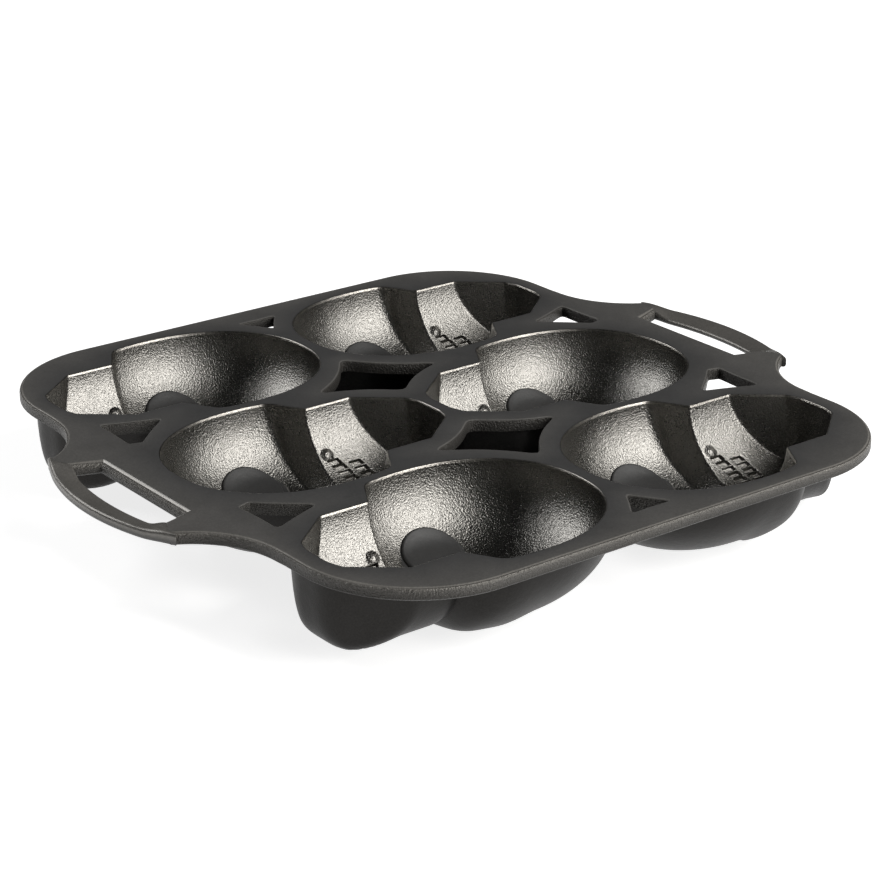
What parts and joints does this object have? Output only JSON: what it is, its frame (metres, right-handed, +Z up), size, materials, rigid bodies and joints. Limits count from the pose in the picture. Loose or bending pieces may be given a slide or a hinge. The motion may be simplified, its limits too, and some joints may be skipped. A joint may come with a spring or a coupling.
{
  "type": "cake pan",
  "caption": "Cast-iron cake pan: a flat plate with rounded corners, skull-shaped cups hung under it and a loop handle at each end.",
  "frame": {"origin": "under the middle of the pan, on the surface it stands on", "axes": "+X from the middle to the right handle, +Y across the pan to the back edge, +Z up, out of the cups"},
  "size_m": [0.3288, 0.2924, 0.0389],
  "materials": {
    "plate_iron": "smooth seasoned",
    "cup_iron": "pebbled seasoned",
    "handle_iron": "satin seasoned"
  },
  "bodies": {
    "root": {"plate": "plate_iron", "cup_back_left": "cup_iron", "cup_middle_left": "cup_iron", "cup_front_left": "cup_iron", "cup_back_right": "cup_iron", "cup_middle_right": "cup_iron", "cup_front_right": "cup_iron", "handle_right": "handle_iron", "handle_left": "handle_iron"}
  },
  "joints": []
}
